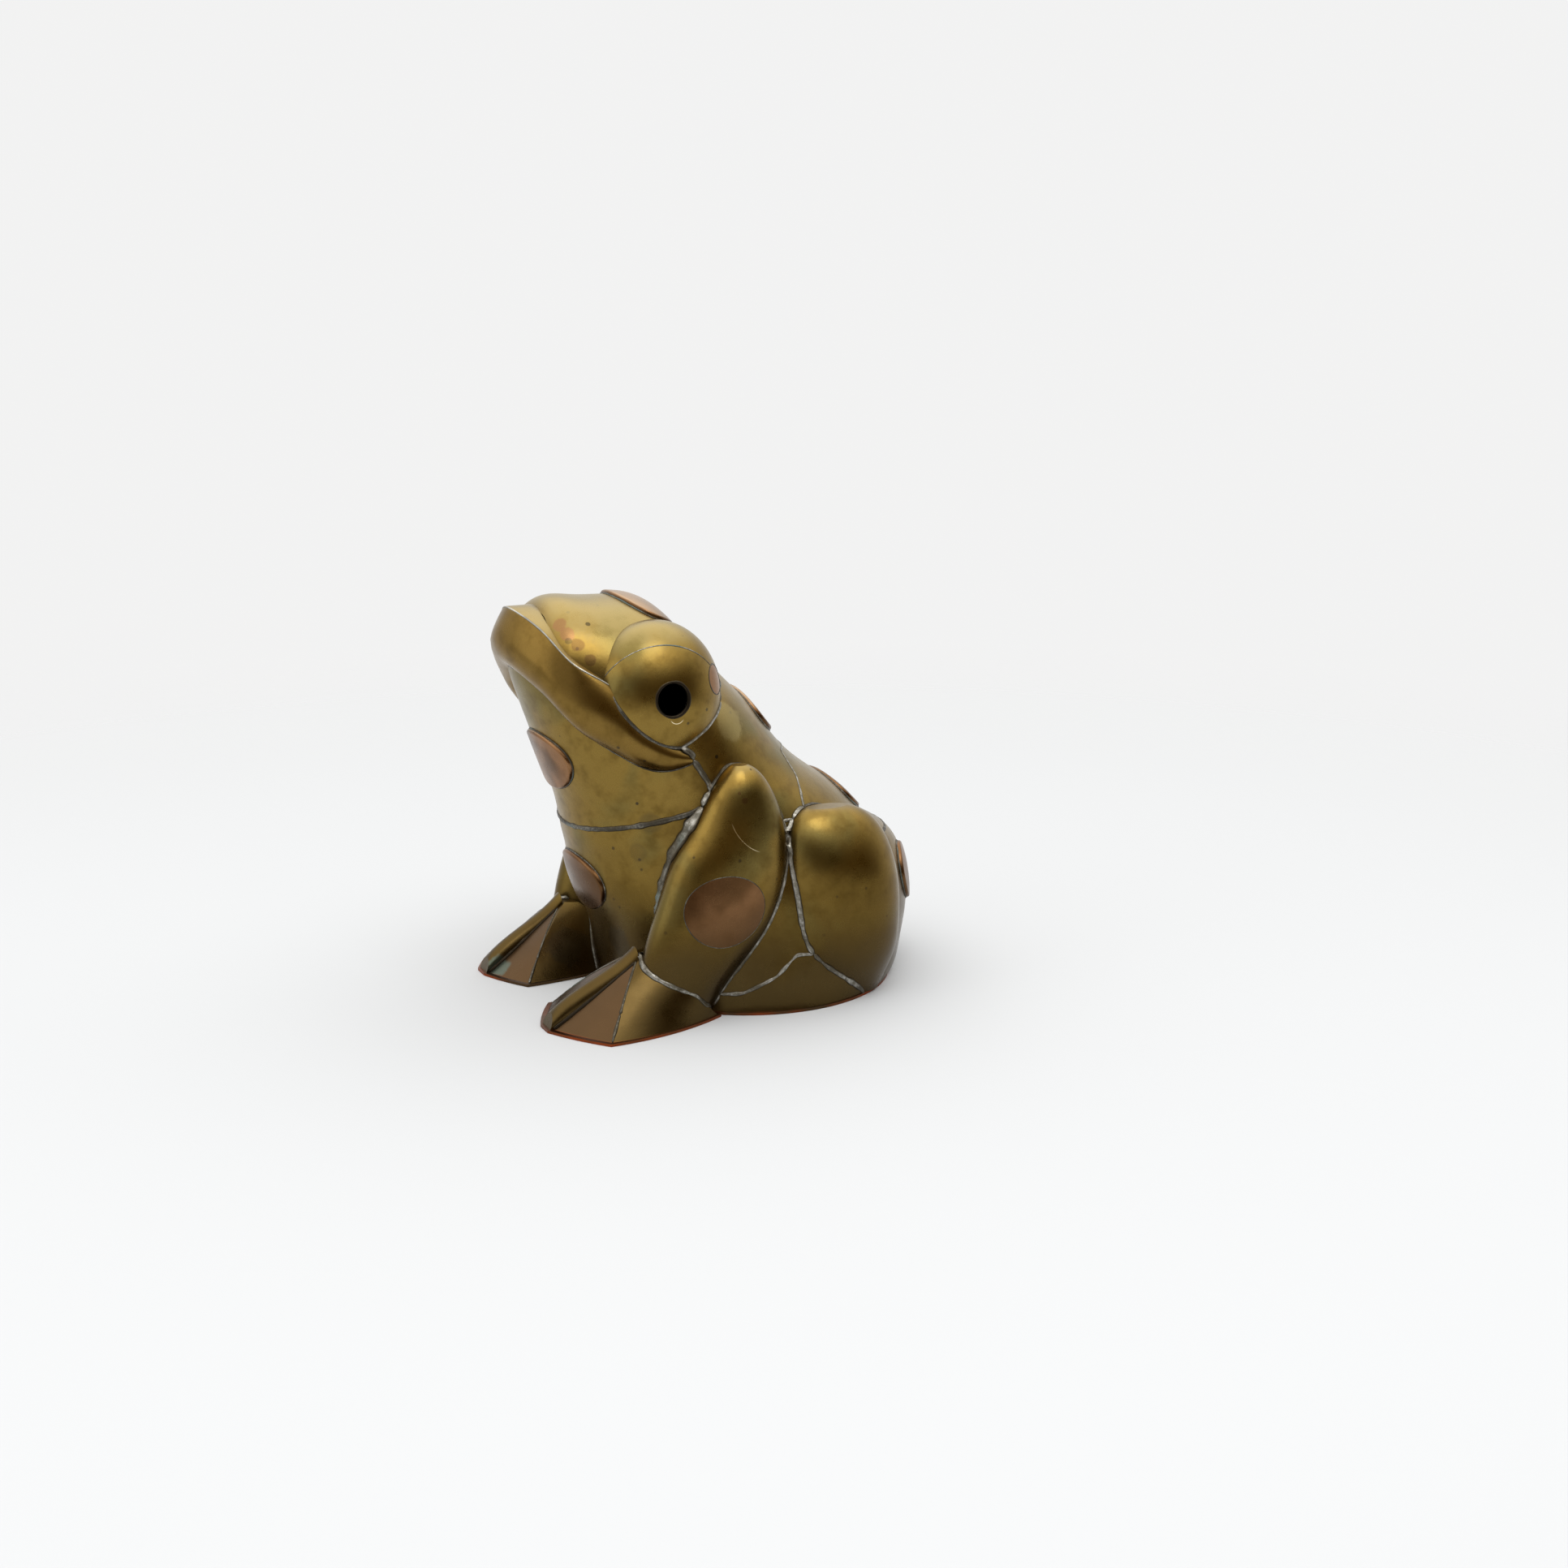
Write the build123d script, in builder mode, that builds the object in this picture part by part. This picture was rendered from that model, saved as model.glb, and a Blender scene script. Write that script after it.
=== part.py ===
from build123d import *
from math import cos, radians, sin, sqrt
import os

os.makedirs("parts", exist_ok=True)

# A sitting frog of formed brass and copper sheet, soldered edge to edge and hollow inside.
# It faces -Y, stands on z = 0, and its left side is +X. All sizes are in millimetres.

# Overall sizes that every form follows
frog_height = 150.0
frog_length = 160.0
frog_width = 125.0

# Sheet metal: the walls, the plates underneath and how far those plates stand out
sheet = 1.2
bottom_plate = 1.0
plate_edge = 0.5

# Lip band round the mouth
lip_depth = 8.0

# Eyes
eye_half_across = 20.5
eye_half_along = 24.5
eye_half_height = 27.0
pupil_diameter = 12.0
eye_seam_offset = 5.2
eye_patch_diameter = 11.0

# Raised copper spots: how far they stand out, the rounding of their rims and their half sizes
spot_rise = 1.5
spot_rounding = 1.0
spot_half_width = 18.0
spot_half_height = 11.5
crown_spot_half_width = 21.0
rump_spot_half_width = 11.0

# Flush copper oval let into each foreleg
foreleg_oval_half_length = 15.3
foreleg_oval_half_height = 13.1

# Toe ridge, the half-round bar along the top of each foot, and the slant of its front end
ridge_half_width = 4.0
ridge_half_height = 4.6
ridge_slant = 20.0

# Reach of the cuts past the frog, and of those that shape a raised spot
overrun = 60.0
spot_reach = 14.0

# The tables below measure along the frog from a point this far in front of its middle
middle_share = 0.023

# Torso: height, front, back, half width
torso_shares = (
    (0.000, -0.231, 0.469, 0.476),
    (0.067, -0.241, 0.506, 0.468),
    (0.133, -0.250, 0.522, 0.460),
    (0.200, -0.269, 0.531, 0.452),
    (0.267, -0.294, 0.525, 0.444),
    (0.347, -0.312, 0.494, 0.424),
    (0.400, -0.322, 0.420, 0.408),
    (0.447, -0.330, 0.375, 0.392),
    (0.567, -0.362, 0.231, 0.356),
    (0.673, -0.397, 0.141, 0.344),
    (0.767, -0.428, 0.062, 0.324),
    (0.833, -0.447, 0.006, 0.280),
    (0.893, -0.444, -0.075, 0.192),
)
# Head top: along, height, half width, half height
head_shares = (
    (-0.409, 0.813, 0.216, 0.137),
    (-0.375, 0.820, 0.240, 0.171),
    (-0.312, 0.793, 0.276, 0.205),
    (-0.250, 0.773, 0.304, 0.220),
    (-0.175, 0.767, 0.312, 0.220),
    (-0.094, 0.773, 0.288, 0.160),
    (-0.031, 0.740, 0.256, 0.120),
    (0.019, 0.700, 0.208, 0.080),
)
# Lip band, from its middle to one end: turn in degrees, across, along, height, half depth, half height
lip_shares = (
    (0, 0.000, -0.434, 0.903, 1.025, 0.073),
    (27, 0.140, -0.400, 0.859, 0.988, 0.081),
    (46, 0.220, -0.350, 0.783, 1.000, 0.083),
    (64, 0.268, -0.284, 0.728, 1.025, 0.079),
    (76, 0.292, -0.237, 0.677, 1.000, 0.060),
    (84, 0.308, -0.181, 0.641, 0.800, 0.041),
    (90, 0.316, -0.125, 0.628, 0.563, 0.019),
)
# Foreleg: across, along, height, half width, half length
foreleg_shares = (
    (0.372, -0.022, 0.610, 0.020, 0.019),
    (0.372, -0.019, 0.593, 0.044, 0.041),
    (0.372, -0.019, 0.553, 0.068, 0.069),
    (0.372, -0.022, 0.493, 0.084, 0.097),
    (0.372, -0.037, 0.420, 0.096, 0.128),
    (0.372, -0.053, 0.347, 0.102, 0.147),
    (0.372, -0.072, 0.273, 0.104, 0.153),
    (0.368, -0.100, 0.200, 0.100, 0.147),
    (0.360, -0.134, 0.133, 0.092, 0.128),
    (0.352, -0.163, 0.067, 0.080, 0.106),
    (0.344, -0.188, 0.000, 0.064, 0.081),
)
# Thigh: across, along, height, half width, half length
thigh_shares = (
    (0.368, 0.200, 0.483, 0.032, 0.050),
    (0.372, 0.203, 0.470, 0.060, 0.081),
    (0.376, 0.209, 0.433, 0.088, 0.116),
    (0.380, 0.219, 0.367, 0.116, 0.138),
    (0.384, 0.228, 0.280, 0.126, 0.147),
    (0.384, 0.231, 0.200, 0.126, 0.147),
    (0.380, 0.237, 0.133, 0.120, 0.138),
    (0.368, 0.253, 0.067, 0.100, 0.106),
    (0.352, 0.269, 0.013, 0.080, 0.072),
    (0.336, 0.275, -0.027, 0.056, 0.044),
)
# Foot: height, then its six corners from the outer side of the toe round to the inner side
foot_shares = (
    (0.000, (
        (0.314, -0.470), (0.496, -0.378), (0.408, -0.088),
        (0.144, -0.156), (0.094, -0.406), (0.258, -0.470),
    )),
    (0.060, (
        (0.315, -0.390), (0.440, -0.338), (0.432, -0.144),
        (0.160, -0.169), (0.156, -0.362), (0.269, -0.390),
    )),
    (0.120, (
        (0.320, -0.312), (0.386, -0.292), (0.416, -0.200),
        (0.192, -0.188), (0.224, -0.306), (0.280, -0.312),
    )),
    (0.160, (
        (0.325, -0.258), (0.344, -0.256), (0.352, -0.238),
        (0.264, -0.225), (0.284, -0.256), (0.296, -0.258),
    )),
)
# How far each side of the foot bows outward for its length
foot_bow_shares = (0.03, 0.07, 0.0, 0.04, 0.03, 0.0)
# Creases of the foot in plan: where they meet, where they end, and how far the cuts follow them past there
ankle_shares = (0.316, -0.250)
crease_end_shares = ((0.286, -0.470), (0.496, -0.378), (0.276, -0.122), (0.094, -0.406))
crease_cut_share = 2.0
# Toe ridge from its front end to the ankle: across, along, height
ridge_shares = (
    (0.286, -0.466, 0.011),
    (0.290, -0.426, 0.037),
    (0.298, -0.363, 0.077),
    (0.312, -0.262, 0.150),
)

# Seams of the torso as they lie in the side view: along, height
throat_seam_shares = ((-0.700, 0.395), (-0.328, 0.436), (-0.137, 0.497), (-0.088, 0.523))
neck_seam_shares = (
    (-0.088, 0.565), (-0.125, 0.628), (-0.181, 0.641), (-0.237, 0.677),
    (-0.284, 0.728), (-0.350, 0.783), (-0.700, 1.100),
)
chest_back_shares = ((-0.088, 0.120), (-0.170, 0.045))
back_seam_shares = ((0.150, 0.460), (0.154, 0.498), (0.165, 0.547), (0.150, 0.600), (0.700, 0.603))
gusset_front_shares = (-0.088, 0.464)
gusset_back_shares = ((0.180, 0.133), (0.170, 0.380))
skirt_seam_shares = ((-0.170, 0.045), (-0.035, 0.052), (0.040, 0.091), (0.089, 0.140), (0.180, 0.133))
skirt_back_shares = (0.312, 0.133)
rump_top_shares = (0.700, 0.350)

# Middles of the spots, eyes and pupils: across, along, height
throat_spot_shares = (0.0, -0.370, 0.603)
chest_spot_shares = (0.0, -0.298, 0.287)
crown_spot_shares = (0.0, -0.143, 0.978)
nape_spot_shares = (0.0, 0.128, 0.682)
back_spot_shares = (0.0, 0.367, 0.456)
rump_spot_shares = (0.200, 0.481, 0.253)
foreleg_oval_shares = (0.372, -0.089, 0.275)
eye_shares = (0.216, -0.175, 0.770)
pupil_shares = (0.216, -0.180, 0.780)
eye_patch_shares = (0.308, -0.059, 0.810)

# Ways the spots, the seam of the eyelid and the pupils face, as shares of one step outward
throat_facing_share = (0.0, -0.95, -0.31)
crown_facing_share = (0.0, 0.05, 1.0)
nape_facing_share = (0.0, 0.78, 0.63)
rump_facing_share = (0.52, 0.86, 0.0)
eye_seam_facing_share = (0.918, -0.102, -0.382)
side_facing_share = (1.0, 0.0, 0.0)

# Heights at which an eye is rounded, as shares of its half height
eye_step_shares = (-0.995, -0.92, -0.75, -0.45, 0.0, 0.45, 0.75, 0.92, 0.995)


def place(shares):
    """A point from its shares of the frog's width, length and height."""
    across, along, height = shares
    return (across * frog_width, (along - middle_share) * frog_length, height * frog_height)


def side_point(shares):
    """A point of the side view, along the frog and up."""
    along, height = shares
    return ((along - middle_share) * frog_length, height * frog_height)


def side_line(table):
    """A seam in the side view."""
    return [side_point(shares) for shares in table]


def plan_line(table):
    """Points of the plan view."""
    return [Vector(*place((across, along, 0.0))) for across, along in table]


def toward(plane, neighbour, distance):
    """The plane moved by a distance toward its neighbour."""
    ahead = plane.z_dir.dot(neighbour.origin - plane.origin) > 0
    return plane.offset(distance if ahead else -distance)


def oval_form(rows, hollow=0.0, grow=0.0):
    """A smooth solid through a row of ovals, the space inside a sheet, or the form made larger."""
    planes = [plane for plane, half_a, half_b in rows]
    planes[0] = toward(planes[0], planes[1], hollow)
    planes[-1] = toward(planes[-1], planes[-2], hollow)
    with BuildPart() as form:
        for plane, (_, half_a, half_b) in zip(planes, rows):
            size = (half_a - hollow + grow, half_b - hollow + grow)
            with BuildSketch(plane):
                with BuildLine():
                    EllipticalCenterArc((0, 0), *size, start_angle=0, arc_size=180)
                    EllipticalCenterArc((0, 0), *size, start_angle=180, arc_size=180)
                make_face()
        loft()
    return form.part


def level_rows(table):
    """Level ovals from across, along, height, half width and half length."""
    rows = []
    for across, along, height, half_width, half_length in table:
        plane = Plane(place((across, along, height)))
        rows.append((plane, half_width * frog_width, half_length * frog_length))
    return rows


def torso_ovals():
    """Level ovals of the torso from its front, back and half width."""
    rows = []
    for height, front, back, half_width in torso_shares:
        plane = Plane(place((0.0, (front + back) / 2, height)))
        rows.append((plane, half_width * frog_width, (back - front) / 2 * frog_length))
    return rows


def head_ovals():
    """Upright ovals of the head top, from the snout back to the neck."""
    rows = []
    for along, height, half_width, half_height in head_shares:
        plane = Plane(place((0.0, along, height)), x_dir=(1, 0, 0), z_dir=(0, -1, 0))
        rows.append((plane, half_width * frog_width, half_height * frog_height))
    return rows


def lip_ovals():
    """Upright ovals of the lip band, from its right end round the front to its left end."""
    left = []
    right = []
    for turn, across, along, height, half_depth, half_height in lip_shares:
        for side, rows in ((1, left), (-1, right)):
            outward = (side * sin(radians(turn)), -cos(radians(turn)), 0)
            onward = (cos(radians(turn)), side * sin(radians(turn)), 0)
            plane = Plane(place((side * across, along, height)), x_dir=outward, z_dir=onward)
            rows.append((plane, half_depth * lip_depth, half_height * frog_height))
    return [*reversed(right[1:]), *left]


def eye_ovals():
    """Level ovals of an egg-shaped eye."""
    rows = []
    for step in eye_step_shares:
        narrow = sqrt(1 - step * step)
        plane = Plane(place(eye_shares)).offset(step * eye_half_height)
        rows.append((plane, eye_half_across * narrow, eye_half_along * narrow))
    return rows


def ridge_ovals():
    """Upright ovals of the toe ridge. The first one leans back to slant its front end."""
    rows = []
    for shares in ridge_shares:
        lean = 0 if rows else radians(ridge_slant)
        plane = Plane(place(shares), x_dir=(1, 0, 0), z_dir=(0, -cos(lean), sin(lean)))
        rows.append((plane, ridge_half_width, ridge_half_height))
    return rows


def foot_outline(height, corners, grow):
    """One level outline of a foot, with its sides bowed outward."""
    points = plan_line(corners)
    with BuildSketch(Plane.XY.offset(height)) as outline:
        with BuildLine():
            for start, end, bow in zip(points, points[1:] + points[:1], foot_bow_shares):
                if bow:
                    outward = (end - start).cross(Vector(0, 0, 1)) * bow
                    ThreePointArc(start, (start + end) / 2 + outward, end)
                else:
                    Line(start, end)
        make_face()
        if grow:
            offset(amount=grow, kind=Kind.INTERSECTION)
    return outline.sketch


def foot_form(hollow=0.0):
    """The wedge of a foot, or the space inside a sheet."""
    with BuildPart() as form:
        for height, corners in foot_shares:
            drop = hollow if height == foot_shares[-1][0] else 0
            add(foot_outline(height * frog_height - drop, corners, -hollow))
        loft()
    return form.part


def side_region(points, left_only=False):
    """A block whose outline is drawn in the side view, through the frog or its left half."""
    with BuildPart() as region:
        with BuildSketch(Plane.YZ):
            with BuildLine():
                Polyline(*points, close=True)
            make_face()
        extrude(amount=frog_width / 2 + overrun, both=not left_only)
    return region.part


def plan_region(points):
    """A block whose outline is drawn in the plan view, upward from the bottom plate."""
    with BuildPart() as region:
        with BuildSketch(Plane.XY.offset(bottom_plate)):
            with BuildLine():
                Polyline(*points, close=True)
            make_face()
        extrude(amount=frog_height)
    return region.part


def oval_rod(middle, facing, half_a, half_b, backward=False):
    """An oval cutter that runs outward from a point, or both ways."""
    face = Plane(middle, x_dir=Vector(0, 0, 1).cross(Vector(*facing)), z_dir=facing)
    with BuildPart() as cutter:
        with BuildSketch(face):
            Ellipse(half_a, half_b)
        extrude(amount=spot_reach if backward else overrun, both=backward)
    return cutter.part


def largest(part):
    """The main solid of a cut, without the specks left between its neighbours."""
    with BuildPart() as main:
        add(part.solids().sort_by(SortBy.VOLUME)[-1])
    return main.part


def panel(outer, inner, region, cut_by=()):
    """A sheet panel: the wall of a form inside a region, cut back by its neighbours."""
    with BuildPart() as piece:
        add(outer)
        add(inner, mode=Mode.SUBTRACT)
        add(region, mode=Mode.INTERSECT)
        for neighbour in cut_by:
            add(neighbour, mode=Mode.SUBTRACT)
    return largest(piece.part)


def within(piece, region):
    """The share of a piece that lies in a region."""
    with BuildPart() as part:
        add(piece)
        add(region, mode=Mode.INTERSECT)
    return largest(part.part)


def without(piece, *cutters):
    """A piece cut back by its neighbours."""
    with BuildPart() as part:
        add(piece)
        for cutter in cutters:
            add(cutter, mode=Mode.SUBTRACT)
    return largest(part.part)


def raised_spot(rows, middle, facing, half_width, half_height, cut_by):
    """A copper pad that follows the sheet under it, with its rim rounded over."""
    outward = Vector(*facing).normalized()
    lean = outward.dot(rows[0][0].z_dir)
    with BuildPart() as pad:
        add(oval_rod(place(middle), facing, half_width, half_height, backward=True))
        add(oval_form(rows, grow=spot_rise / sqrt(1 - lean * lean)), mode=Mode.INTERSECT)
        for form in cut_by:
            add(form, mode=Mode.SUBTRACT)
        top_and_bottom = pad.faces().sort_by(SortBy.AREA)[-2:]
        top = max(top_and_bottom, key=lambda face: face.center().dot(outward))
        fillet(top.edges(), radius=spot_rounding)
    return largest(pad.part)


def mirrored(part):
    """The same shape on the frog's right side."""
    with BuildPart() as other:
        mirror(part, about=Plane.YZ)
    return other.part


def keep(part, name):
    """Label a finished piece and write it."""
    part.label = name
    export_step(part, "parts/" + name + ".step")


def keep_pair(part, name):
    """Write a left piece and its mirror image."""
    keep(part, name + "_left")
    keep(mirrored(part), name + "_right")


# Seams and limits in the side view
low = bottom_plate
high = frog_height + overrun
front = -frog_length
back = frog_length
throat_seam = side_line(throat_seam_shares)
neck_seam = side_line(neck_seam_shares)
chest_back = side_line(chest_back_shares)
back_seam = side_line(back_seam_shares)
gusset_front = side_point(gusset_front_shares)
gusset_back = side_line(gusset_back_shares)
skirt_seam = side_line(skirt_seam_shares)
skirt_back = side_point(skirt_back_shares)
rump_top = side_point(rump_top_shares)
whole = side_region([(front, low), (back, low), (back, high), (front, high)])
head_region = side_region([*neck_seam, (front, high), (back, high), (back, neck_seam[0][1])])

# Outer forms, and the spaces inside their sheets
torso_rows = torso_ovals()
torso = oval_form(torso_rows)
open_bottom = (torso_rows[0][0].offset(-sheet), *torso_rows[0][1:])
torso_space = oval_form([open_bottom, *torso_rows[1:]], hollow=sheet)
head_rows = head_ovals()
head = within(oval_form(head_rows), head_region)
head_space = within(oval_form(head_rows, hollow=sheet), head_region)
lip = oval_form(lip_ovals())
lip_space = oval_form(lip_ovals(), hollow=sheet)
foreleg = oval_form(level_rows(foreleg_shares))
foreleg_space = oval_form(level_rows(foreleg_shares), hollow=sheet)
thigh = oval_form(level_rows(thigh_shares))
thigh_space = oval_form(level_rows(thigh_shares), hollow=sheet)
eye = oval_form(eye_ovals())
eye_space = oval_form(eye_ovals(), hollow=sheet)
foot = foot_form()
foot_space = foot_form(hollow=sheet)

forelegs = (foreleg, mirrored(foreleg))
thighs = (thigh, mirrored(thigh))
eyes = (eye, mirrored(eye))
eye_spaces = (eye_space, mirrored(eye_space))
feet = (foot, mirrored(foot))

# Torso panels on the middle line
throat_region = side_region([*throat_seam, *neck_seam])
keep(panel(torso, torso_space, throat_region, (head, lip, *eyes, *forelegs)), "throat")
chest_region = side_region([*throat_seam, *chest_back, (chest_back[-1][0], low), (front, low)])
keep(panel(torso, torso_space, chest_region, (*forelegs, *feet)), "chest")
back_region = side_region([*back_seam, rump_top, gusset_back[-1]])
keep(panel(torso, torso_space, back_region, thighs), "back_panel")

# Torso panels in pairs
nape_region = side_region(
    [gusset_front, *back_seam, (back, high), (front, high), *reversed(neck_seam)], left_only=True
)
keep_pair(panel(torso, torso_space, nape_region, (head, lip, eye, foreleg, thigh)), "nape")
gusset_region = side_region(
    [chest_back[0], gusset_front, back_seam[0], *reversed(gusset_back), *reversed(skirt_seam[:-1])],
    left_only=True,
)
keep_pair(panel(torso, torso_space, gusset_region, (foreleg, thigh, foot)), "gusset")
skirt_region = side_region(
    [*skirt_seam, skirt_back, (skirt_back[0], low), (skirt_seam[0][0], low)], left_only=True
)
keep_pair(panel(torso, torso_space, skirt_region, (foreleg, thigh, foot)), "skirt")
rump_region = side_region(
    [*gusset_back, rump_top, (rump_top[0], low), (skirt_back[0], low), skirt_back], left_only=True
)
keep_pair(panel(torso, torso_space, rump_region, (thigh,)), "rump")

# Head top and lip band
keep(without(head, torso_space, lip, *eyes, head_space), "head_top")
keep(without(lip, lip_space, torso_space, head_space, *eye_spaces), "lip")

# Eyes: a lid and an eyeball panel that meet at a slanting seam, the pupil hole and a copper patch behind
eye_middle = Vector(*place(eye_shares))
eye_shell = panel(eye, eye_space, whole, (lip, head_space, torso_space))
with BuildPart() as eyeball_side:
    with BuildSketch(Plane(eye_middle, z_dir=eye_seam_facing_share).offset(eye_seam_offset)):
        Rectangle(overrun, overrun)
    extrude(amount=overrun)
pupil = oval_rod(place(pupil_shares), side_facing_share, pupil_diameter / 2, pupil_diameter / 2)
patch_facing = tuple(Vector(*place(eye_patch_shares)) - eye_middle)
patch_rod = oval_rod(eye_middle, patch_facing, eye_patch_diameter / 2, eye_patch_diameter / 2)
keep_pair(without(within(eye_shell, eyeball_side.part), pupil, patch_rod), "eyeball")
keep_pair(without(eye_shell, eyeball_side.part, patch_rod), "eyelid")
keep_pair(within(eye_shell, patch_rod), "eye_patch")

# Forelegs with their flush copper ovals, and thighs
foreleg_shell = panel(foreleg, foreleg_space, whole, (foot, torso_space, thigh_space))
oval_cutter = oval_rod(
    place(foreleg_oval_shares), side_facing_share, foreleg_oval_half_length, foreleg_oval_half_height
)
keep_pair(without(foreleg_shell, oval_cutter), "foreleg")
keep_pair(within(foreleg_shell, oval_cutter), "foreleg_oval")
keep_pair(panel(thigh, thigh_space, whole, (foreleg, torso_space)), "thigh")

# Feet: copper webs in front, brass panels behind, and the toe ridge along the top
foot_shell = panel(foot, foot_space, whole, (torso_space, foreleg_space))
ankle = plan_line((ankle_shares,))[0]
crease_ends = [ankle + (end - ankle) * crease_cut_share for end in plan_line(crease_end_shares)]
toe_end, outer_end, rear_end, inner_end = crease_ends
outer_rear = Vector(outer_end.X, rear_end.Y)
inner_rear = Vector(inner_end.X, rear_end.Y)
keep_pair(within(foot_shell, plan_region([ankle, toe_end, outer_end])), "web_outer")
keep_pair(within(foot_shell, plan_region([ankle, inner_end, toe_end])), "web_inner")
keep_pair(within(foot_shell, plan_region([ankle, outer_end, outer_rear, rear_end])), "foot_side_outer")
keep_pair(within(foot_shell, plan_region([ankle, rear_end, inner_rear, inner_end])), "foot_side_inner")
keep_pair(without(within(oval_form(ridge_ovals()), whole), foot, foreleg), "toe_ridge")

# Soles under the feet, and the copper plate that closes the torso from below
with BuildPart() as sole:
    add(foot_outline(0.0, foot_shares[0][1], plate_edge))
    extrude(amount=bottom_plate)
keep_pair(sole.part, "sole")
with BuildPart() as base_plate:
    with BuildSketch(torso_rows[0][0]):
        Ellipse(torso_rows[0][1] + plate_edge, torso_rows[0][2] + plate_edge)
    extrude(amount=bottom_plate)
    add(sole.part, mode=Mode.SUBTRACT)
    add(mirrored(sole.part), mode=Mode.SUBTRACT)
keep(base_plate.part, "base_plate")

# Raised copper spots
for name, middle, facing in (
    ("throat_spot", throat_spot_shares, throat_facing_share),
    ("chest_spot", chest_spot_shares, throat_facing_share),
    ("nape_spot", nape_spot_shares, nape_facing_share),
    ("back_spot", back_spot_shares, nape_facing_share),
):
    keep(raised_spot(torso_rows, middle, facing, spot_half_width, spot_half_height, (torso,)), name)
crown_spot = raised_spot(
    head_rows, crown_spot_shares, crown_facing_share, crown_spot_half_width, spot_half_height, (head, *eyes)
)
keep(crown_spot, "crown_spot")
rump_spot = raised_spot(
    torso_rows, rump_spot_shares, rump_facing_share, rump_spot_half_width, rump_spot_half_width, (torso,)
)
keep_pair(rump_spot, "rump_spot")
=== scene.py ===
"""Looks of a brass and copper frog: aged sheets, solder along their seams, and a studio round it."""

import math

import bpy
import numpy as np
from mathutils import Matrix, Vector, noise
from mathutils.bvhtree import BVHTree


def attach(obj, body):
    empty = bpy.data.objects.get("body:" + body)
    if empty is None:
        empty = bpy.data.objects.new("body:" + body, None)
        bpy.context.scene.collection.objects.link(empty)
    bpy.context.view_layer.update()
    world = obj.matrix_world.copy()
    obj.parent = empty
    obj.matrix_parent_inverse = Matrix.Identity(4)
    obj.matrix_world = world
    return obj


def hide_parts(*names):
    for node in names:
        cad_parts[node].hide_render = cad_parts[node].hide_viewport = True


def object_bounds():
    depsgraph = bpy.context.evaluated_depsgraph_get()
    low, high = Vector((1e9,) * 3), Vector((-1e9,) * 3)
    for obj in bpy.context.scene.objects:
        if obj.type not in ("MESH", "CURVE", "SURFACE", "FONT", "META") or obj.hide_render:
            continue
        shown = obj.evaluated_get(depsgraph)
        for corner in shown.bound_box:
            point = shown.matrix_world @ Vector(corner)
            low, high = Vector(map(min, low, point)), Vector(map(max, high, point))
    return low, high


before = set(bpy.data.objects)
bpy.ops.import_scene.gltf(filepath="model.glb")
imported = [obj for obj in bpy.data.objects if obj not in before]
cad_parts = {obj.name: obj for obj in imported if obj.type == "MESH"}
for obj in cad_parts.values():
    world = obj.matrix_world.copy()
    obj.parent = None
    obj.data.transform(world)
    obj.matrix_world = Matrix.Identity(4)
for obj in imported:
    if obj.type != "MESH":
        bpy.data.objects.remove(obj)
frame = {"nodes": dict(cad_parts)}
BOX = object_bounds()

bl_info = {
    "name": "Soldered brass frog",
    "version": (1, 0, 0),
    "blender": (4, 5, 0),
    "location": "View3D > Sidebar > Frog",
    "description": "Aged brass and copper sheets, solder beads and a studio for a frog figurine",
    "category": "Object",
}

MM = 0.001
UP = np.array([0.0, 0.0, 1.0])
# Lengths below which a vector is nothing, and two ends of a run are one
TINY = 1e-12
SAME = 1e-6

# Sockets of the colour mix node, whose names aren't single
MIX_SHARE = 0
MIX_FIRST = 6
MIX_SECOND = 7
MIX_RESULT = 2

# Sheets of copper, by a word in their names; the others are brass
COPPER_WORDS = ("spot", "oval", "eye_patch", "web", "sole", "base_plate")
CREASE_RAYS = 6
PIT_GAP = 9 * MM
SCRATCH_WIDTH = 0.16 * MM
# Stains, with painted shade and painted light among them: place and reach in millimetres, their colour's name
# in the settings, and their strength
MARKS = (
    ((20.0, -64.0, 141.5), 3.5, "copper", 0.75),
    ((24.0, -62.5, 139.5), 3.5, "copper", 0.75),
    ((27.5, -60.0, 135.5), 3.0, "copper_brown", 0.6),
    ((31.0, -57.0, 130.5), 2.6, "copper_brown", 0.6),
    ((26.0, -63.0, 137.0), 1.6, "grime", 0.5),
    ((38.0, -38.5, 71.0), 6.0, "grime", 0.35),
    ((33.0, -41.0, 60.0), 4.5, "grime", 0.25),
    # Painted shade under the chest between the legs, and on the far foot's inner side
    ((14.0, -40.0, 22.0), 9.0, "grime", 0.5),
    ((-19.0, -50.0, 12.0), 10.0, "grime", 0.6),
    ((22.9, -54.5, 141.9), 1.1, "grime", 0.75),
    ((55.5, -9.3, 80.3), 1.5, "copper_brown", 0.6),
    ((54.5, -11.0, 83.0), 0.8, "copper_brown", 0.6),
    ((34.6, -41.8, 78.4), 0.8, "grime", 0.9),
    ((43.1, -14.5, 94.4), 0.9, "grime", 0.9),
    ((50.5, -4.5, 90.5), 0.7, "grime", 0.8),
    # Painted light on the nape beside the eye
    ((37.0, -6.0, 106.0), 9.0, "brass_pale", 0.5),
    ((-30.3, -73.8, 3.0), 6.0, "bloom", 0.6),
)
# Scratches, each a part of a circle, in millimetres: its centre and radius, its middle and its reach
SCRATCHES = (
    ((57.8, 0.7, 76.8), 16.0, (58.0, -11.4, 66.2), 8.5),
    ((46.9, -31.2, 111.2), 2.8, (46.9, -31.2, 108.0), 3.2),
)

# Finding the seams: least turn between two faces at an edge, how close sheets touch, the shortest way that
# still points somewhere, how far a point is lifted off its sheet, and how far the surface is felt for
LEAST_TURN = math.radians(25)
TOUCH = 0.3 * MM
SHORT = 0.5
SKIN = 0.1 * MM
PROBE = 3.0 * MM
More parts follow.
